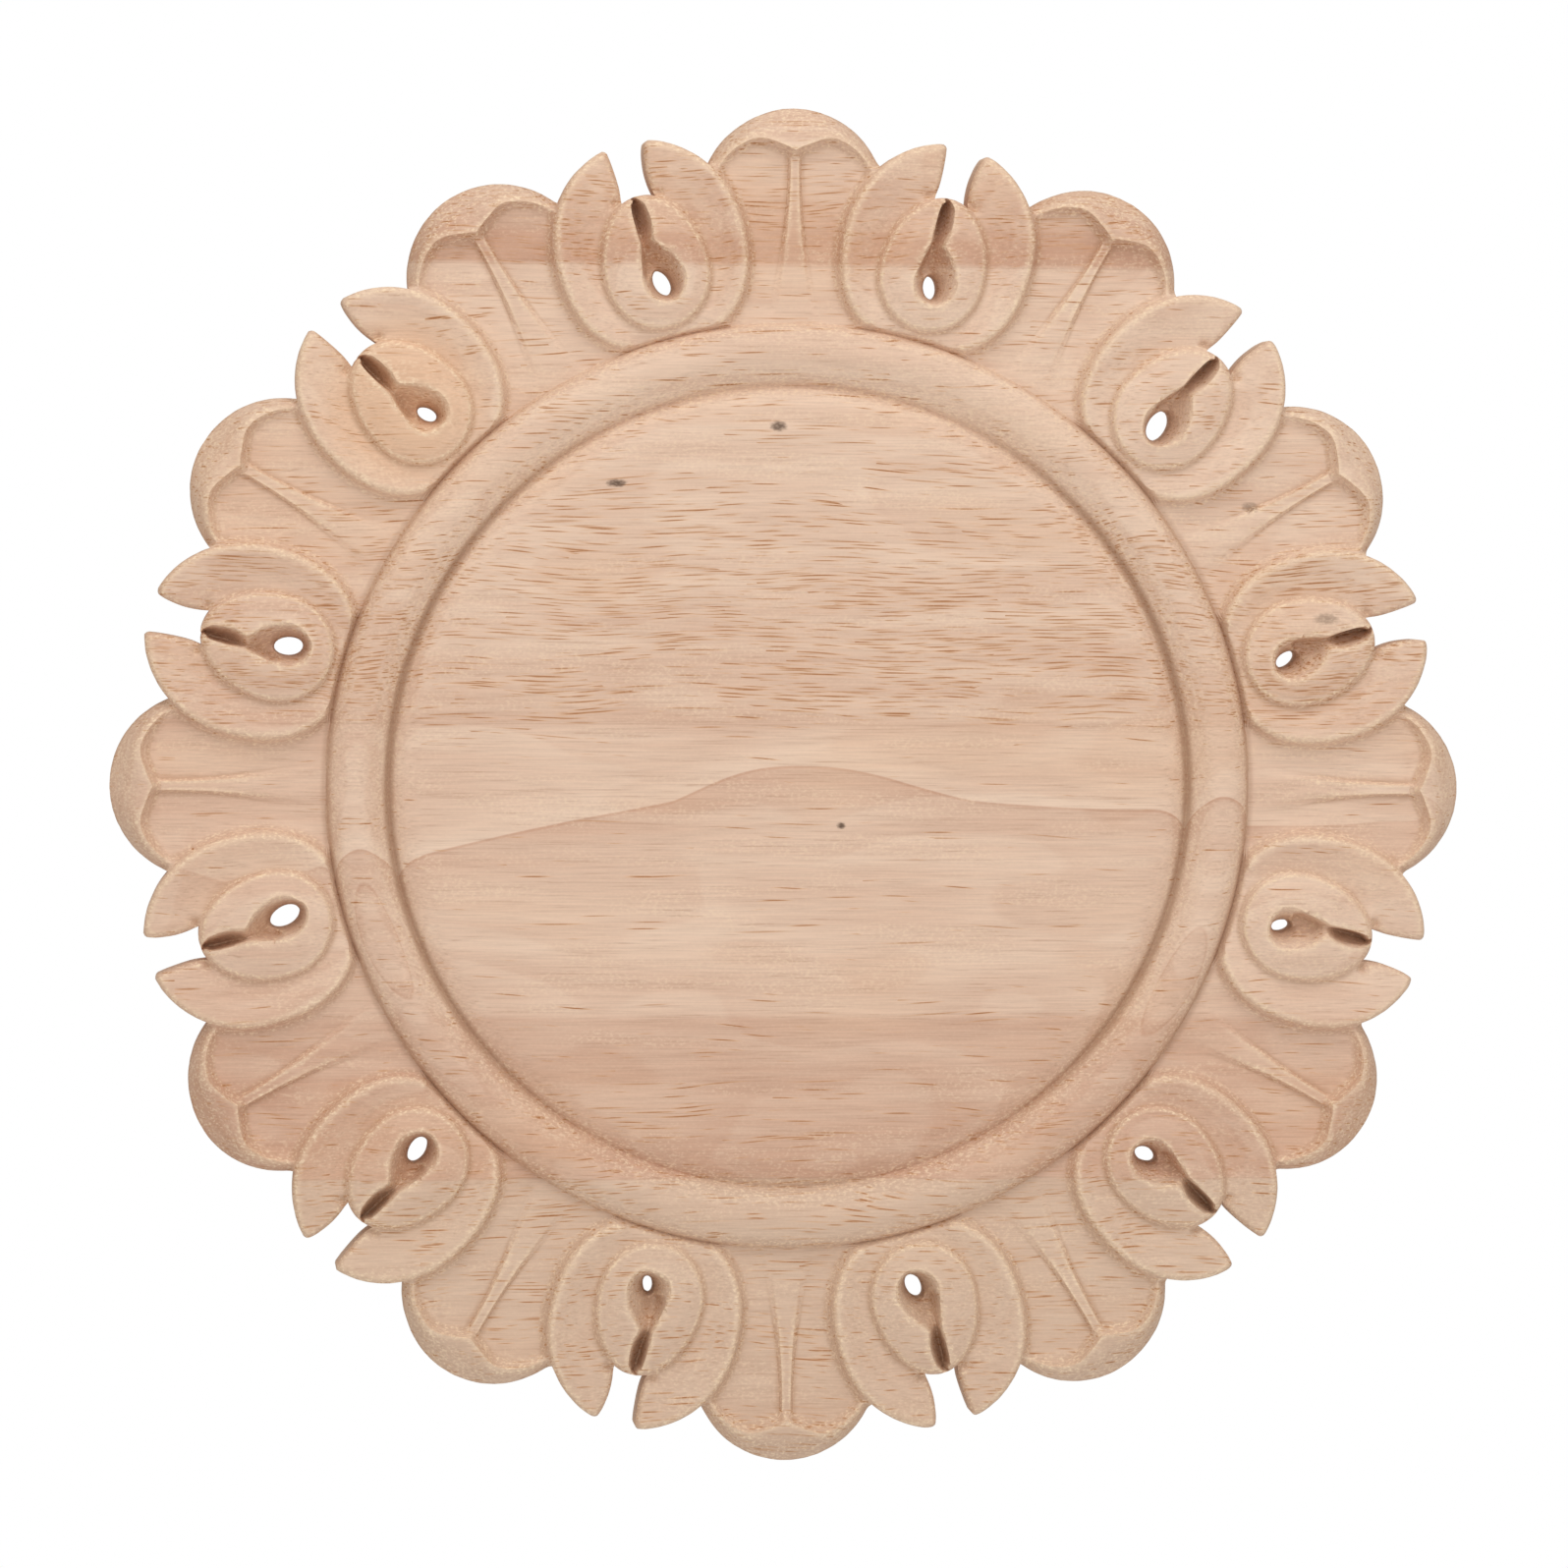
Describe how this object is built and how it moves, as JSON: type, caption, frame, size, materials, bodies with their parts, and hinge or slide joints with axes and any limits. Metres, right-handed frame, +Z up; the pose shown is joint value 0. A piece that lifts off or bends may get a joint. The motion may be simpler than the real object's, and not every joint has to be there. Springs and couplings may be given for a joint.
{
  "type": "carved wood applique",
  "caption": "Round carved wood applique: a flat disc in a half-round ring, with a border of ribbed lobes and of slit buds between petals, flat at the back.",
  "frame": {"origin": "centre of the flat back face, the side that is glued to a wall, door or ceiling", "axes": "+Y out of the back into what carries it, -Y towards the viewer, +Z up, with one lobe at the top"},
  "size_m": [0.3, 0.0126, 0.3],
  "materials": {
    "bare_wood": "bare sanded wood, matt, with fine tool marks on the slopes"
  },
  "bodies": {
    "root": {"applique": "bare_wood"}
  },
  "joints": []
}
